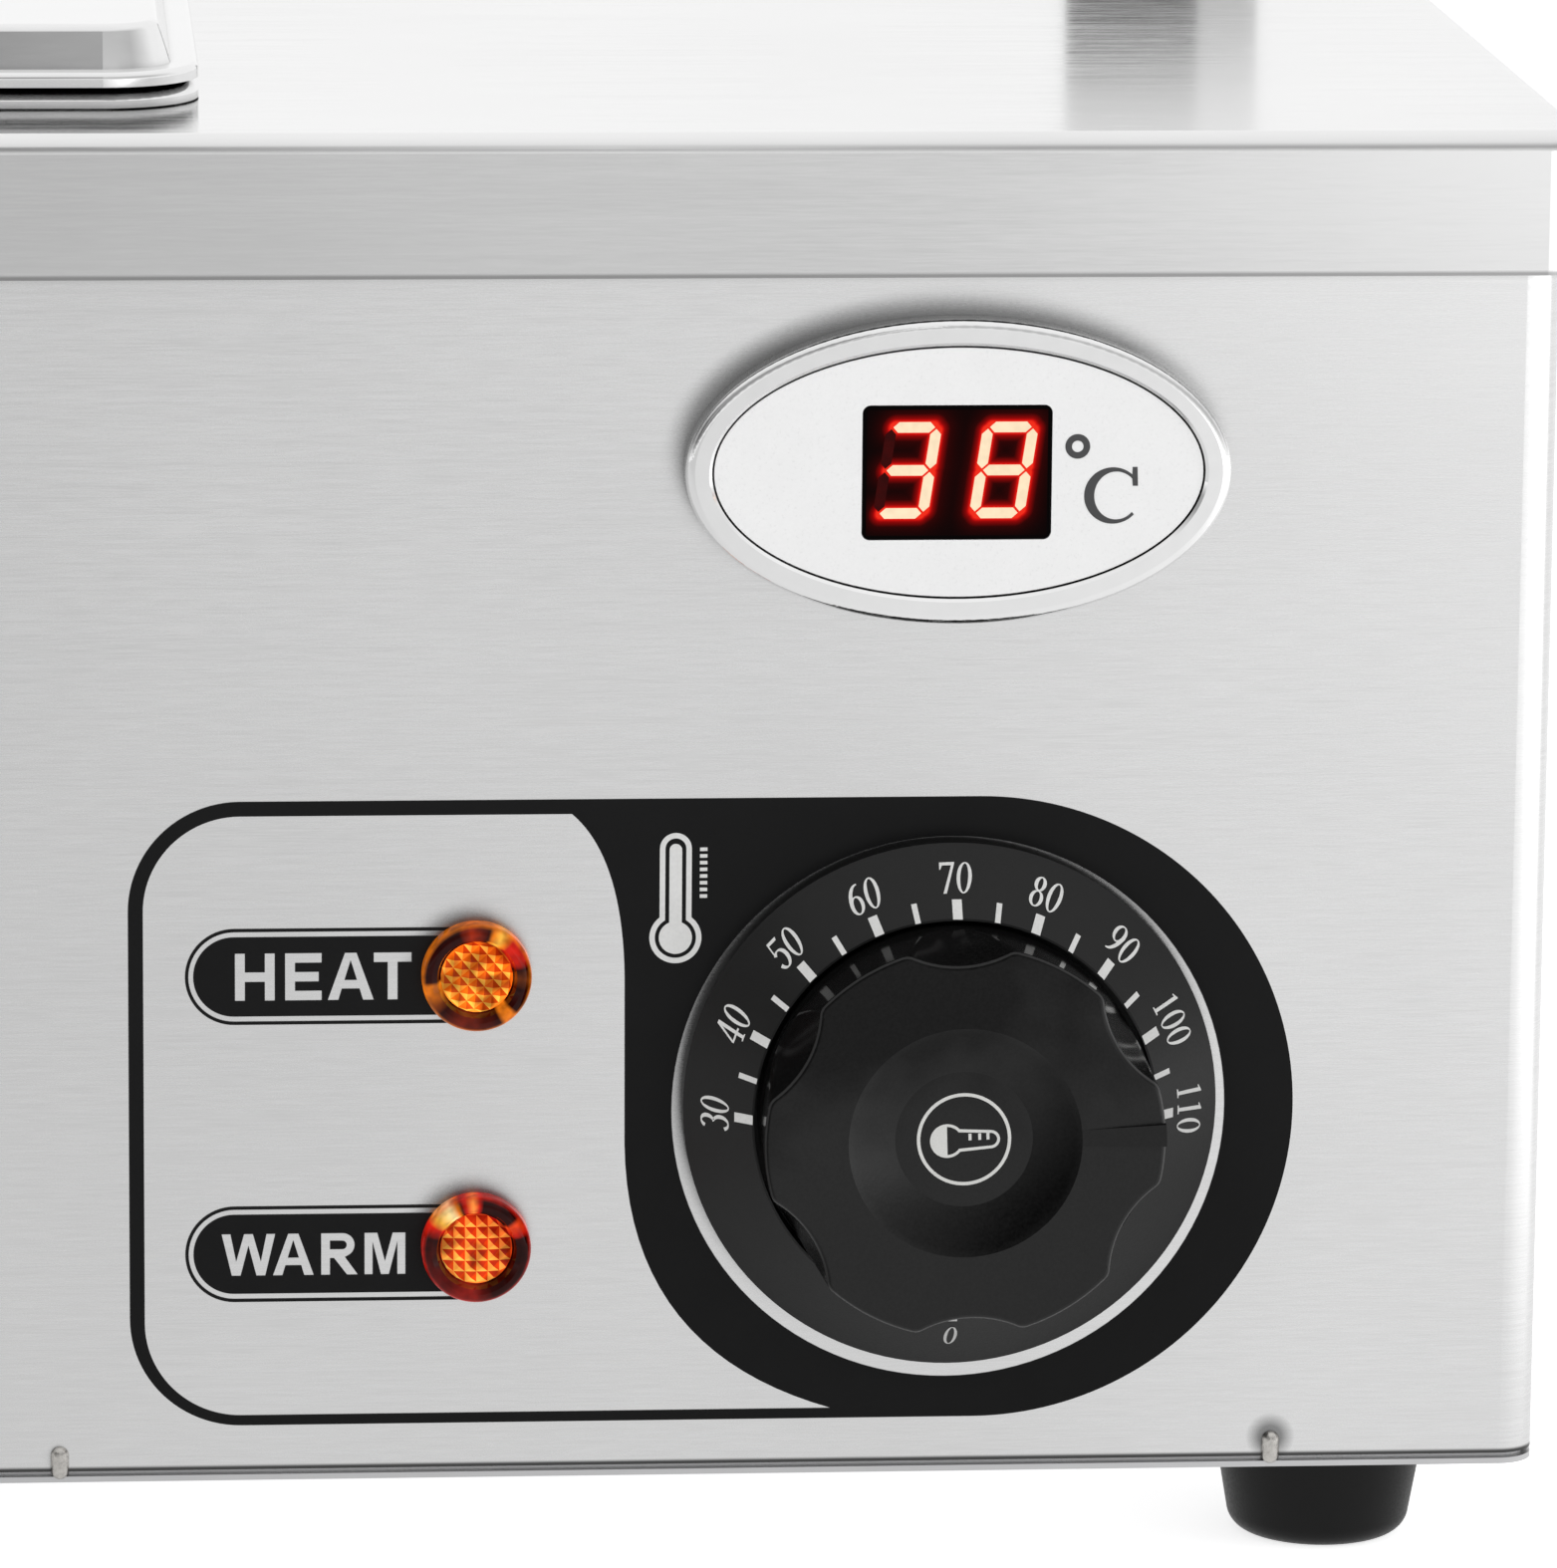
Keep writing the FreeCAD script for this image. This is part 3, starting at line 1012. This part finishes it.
def earth_stud():
    """Threaded stud with a nut for the protective earth, beside the terminal block."""
    place = V(DIAL_X + BLOCK_LENGTH, BACK - BLOCK_FROM_BACK, BASE_TOP)
    stud = rod(place, UP, STUD_RADIUS, STUD_HEIGHT)
    return stud.fuse(hexagon(place, UP, STUD_NUT_FLATS, STUD_HEIGHT / 4)).removeSplitter()


def gland_place():
    return V(RIGHT - GLAND_FROM_RIGHT, BACK, PANEL_BOTTOM + GLAND_HEIGHT)


def cable_gland():
    """Gland body: hexagonal flange outside, thread through the back."""
    place = gland_place()
    flange = hexagon(place, V(0, 1, 0), GLAND_FLATS, GLAND_FLANGE)
    inside = BODY_SHEET + GLAND_INSIDE
    thread = rod(place - V(0, inside, 0), V(0, 1, 0), GLAND_THREAD, inside + GLAND_FLANGE)
    bore = rod(place - V(0, inside, 0), V(0, 1, 0), GLAND_BORE, inside + GLAND_FLANGE)
    return flange.fuse(thread).cut(bore).removeSplitter()


def gland_cap():
    """Domed clamping nut with the cable's hole."""
    reach = GLAND_CAP
    cap = turned((GLAND_BORE, 0), (GLAND_CAP_STEP, 0), (GLAND_CAP_STEP, reach * 0.6),
                 ((GLAND_CAP_STEP - 1.2, reach * 0.86), (GLAND_CAP_STEP - 3.6, reach)), (GLAND_BORE, reach))
    grips = hexagon(V(0, 0, 0), UP, 2 * GLAND_CAP_STEP, reach * 0.55, GLAND_BORE)
    cap = cap.fuse(grips).removeSplitter()
    cap.Placement = FreeCAD.Placement(gland_place() + V(0, GLAND_FLANGE, 0), FreeCAD.Rotation(UP, V(0, 1, 0)))
    return cap


def gland_nut():
    place = gland_place() - V(0, BODY_SHEET + GLAND_NUT_HEIGHT, 0)
    return hexagon(place, V(0, 1, 0), GLAND_FLATS, GLAND_NUT_HEIGHT, GLAND_THREAD)


def drain_elbow():
    """Pipe bent from the well's floor to the left side, where the valve screws on."""
    top = V(DRAIN_X, DRAIN_Y, WELL_FLOOR - WELL_SHEET)
    points = [top, V(DRAIN_X, DRAIN_Y, DRAIN_Z), V(VALVE_INLET - VALVE_COLLAR, DRAIN_Y, DRAIN_Z)]
    outside = tube(points, DRAIN_BEND, DRAIN_PIPE_RADIUS)
    return outside.cut(tube(points, DRAIN_BEND, DRAIN_PIPE_RADIUS - DRAIN_PIPE_WALL))


def drain_valve_body():
    """Ball valve: hexagonal collar, round body, outlet thread and a neck for the stem."""
    left = V(-1, 0, 0)
    inlet = V(VALVE_INLET, DRAIN_Y, DRAIN_Z)
    collar = hexagon(inlet, left, VALVE_FLATS, VALVE_COLLAR)
    trunk_start = inlet + left * VALVE_COLLAR
    trunk = rod(trunk_start, left, VALVE_BODY_RADIUS, VALVE_BODY_LENGTH)
    trunk = trunk.makeFillet(DECK_BEND, [edge for edge in trunk.Edges if edge.Closed])
    outlet = rod(trunk_start + left * VALVE_BODY_LENGTH, left, VALVE_THREAD, VALVE_THREAD_LENGTH)
    neck = rod(V(BALL_X, DRAIN_Y, DRAIN_Z), UP, NECK_RADIUS, NECK_HEIGHT)
    socket = rod(inlet, left, DRAIN_PIPE_RADIUS + BUSH_FIT, VALVE_COLLAR)
    length = inlet.x - VALVE_OUTLET
    bore = rod(inlet, left, VALVE_BORE, length)
    chamber = Part.makeSphere(BALL_RADIUS + BALL_GAP, V(BALL_X, DRAIN_Y, DRAIN_Z))
    stem_hole = rod(V(BALL_X, DRAIN_Y, DRAIN_Z), UP, STEM_RADIUS + SHAFT_FIT, NECK_HEIGHT)
    return collar.fuse([trunk, outlet, neck]).removeSplitter().cut([socket, bore, chamber, stem_hole])


def drain_valve_ball():
    """Ball with its way across the pipe when closed, and its stem up through the neck."""
    centre = V(BALL_X, DRAIN_Y, DRAIN_Z)
    ball = Part.makeSphere(BALL_RADIUS, centre).cut(rod(centre - V(0, BALL_RADIUS, 0), V(0, 1, 0), VALVE_BORE,
                                                        2 * BALL_RADIUS))
    stem_start = centre + V(0, 0, VALVE_BORE + 1)
    return ball.fuse(rod(stem_start, UP, STEM_RADIUS, STEM_HEIGHT - VALVE_BORE - 1)).removeSplitter()


def drain_lever():
    """Flat lever towards the front when closed, wider and rounded at its tip."""
    root = LEVER_WIDTH / 2
    tip = LEVER_TIP_WIDTH / 2
    far = -(LEVER_LENGTH - tip)
    edges = [Part.Arc(V(root, 0, 0), V(0, root, 0), V(-root, 0, 0)).toShape(),
             Part.LineSegment(V(-root, 0, 0), V(-tip, far, 0)).toShape(),
             Part.Arc(V(-tip, far, 0), V(0, far - tip, 0), V(tip, far, 0)).toShape(),
             Part.LineSegment(V(tip, far, 0), V(root, 0, 0)).toShape()]
    lever = prism(Part.Wire(edges), LEVER_STRIP)
    lever = lever.cut(rod(V(0, 0, 0), UP, STEM_RADIUS + SHAFT_FIT, LEVER_STRIP))
    lever.translate(V(BALL_X, DRAIN_Y, LEVER_BOTTOM))
    return lever


def lever_nut():
    return hexagon(V(BALL_X, DRAIN_Y, LEVER_BOTTOM + LEVER_STRIP), UP, LEVER_NUT_FLATS, LEVER_NUT_HEIGHT,
                   STEM_RADIUS)


def assembly():
    """Every node of the appliance, by name."""
    nodes = {
        "deck": deck(),
        "water_well": water_well(),
        "body_shell": body_shell(),
        "back_panel": back_panel(),
        "base_plate": base_plate(),
        "base_tack_welds": base_tack_welds(),
        "heat_shield": heat_shield(),
        "foot_screws": foot_screws(),
        "foot_nuts": foot_nuts(),
        "heating_element": heating_element(),
        "element_fittings": element_fittings(),
        "element_gaskets": element_gaskets(),
        "element_nuts": element_nuts(),
        "element_terminals": element_terminals(),
        "element_clips": element_clips(),
        "thermostat_body": thermostat_body(),
        "thermostat_screws": thermostat_screws(),
        "thermostat_spindle": thermostat_spindle(),
        "capillary_tube": capillary_tube(),
        "thermostat_bulb": thermostat_bulb(),
        "bulb_clips": bulb_clips(),
        "overheat_cutout": overheat_cutout(),
        "dial_plate": dial_plate(),
        "knob": knob(),
        "heat_lamp_lens": on_panel(lamp_lens(), LAMP_X, PANEL_BOTTOM + HEAT_LAMP_HEIGHT),
        "heat_lamp_body": on_panel(lamp_body(), LAMP_X, PANEL_BOTTOM + HEAT_LAMP_HEIGHT),
        "warm_lamp_lens": on_panel(lamp_lens(), LAMP_X, PANEL_BOTTOM + WARM_LAMP_HEIGHT),
        "warm_lamp_body": on_panel(lamp_body(), LAMP_X, PANEL_BOTTOM + WARM_LAMP_HEIGHT),
        "lamp_nuts": lamp_nuts(),
        "display_bezel": display_bezel(),
        "display_face": display_face(),
        "display_window": display_window(),
        "display_module": display_module(),
        "temperature_probe": temperature_probe(),
        "probe_lead": probe_lead(),
        "terminal_block": terminal_block(),
        "earth_stud": earth_stud(),
        "cable_gland": cable_gland(),
        "gland_cap": gland_cap(),
        "gland_nut": gland_nut(),
        "drain_elbow": drain_elbow(),
        "drain_valve_body": drain_valve_body(),
        "drain_valve_ball": drain_valve_ball(),
        "drain_lever": drain_lever(),
        "lever_nut": lever_nut(),
    }
    for name, place in FEET.items():
        nodes["foot_" + name] = foot(place)
    for name, x in zip(PAN_NAMES, PAN_CENTRES):
        nodes["pan_" + name] = food_pan(x)
        nodes["lid_" + name] = pan_lid(x)
        nodes["handle_" + name] = lid_handle(x)
    return nodes


# The origin is under the middle of everything: from the drain outlet to the deck's right end, and from the
# knob's face to the gland's cap
MIDDLE = V((VALVE_OUTLET + DECK_LENGTH / 2) / 2,
           (FRONT - KNOB_FACE + BACK + GLAND_FLANGE + GLAND_CAP) / 2, 0)

os.makedirs("parts", exist_ok=True)
for node, solid in assembly().items():
    solid.translate(-MIDDLE)
    solid.exportStep("parts/" + node + ".step")
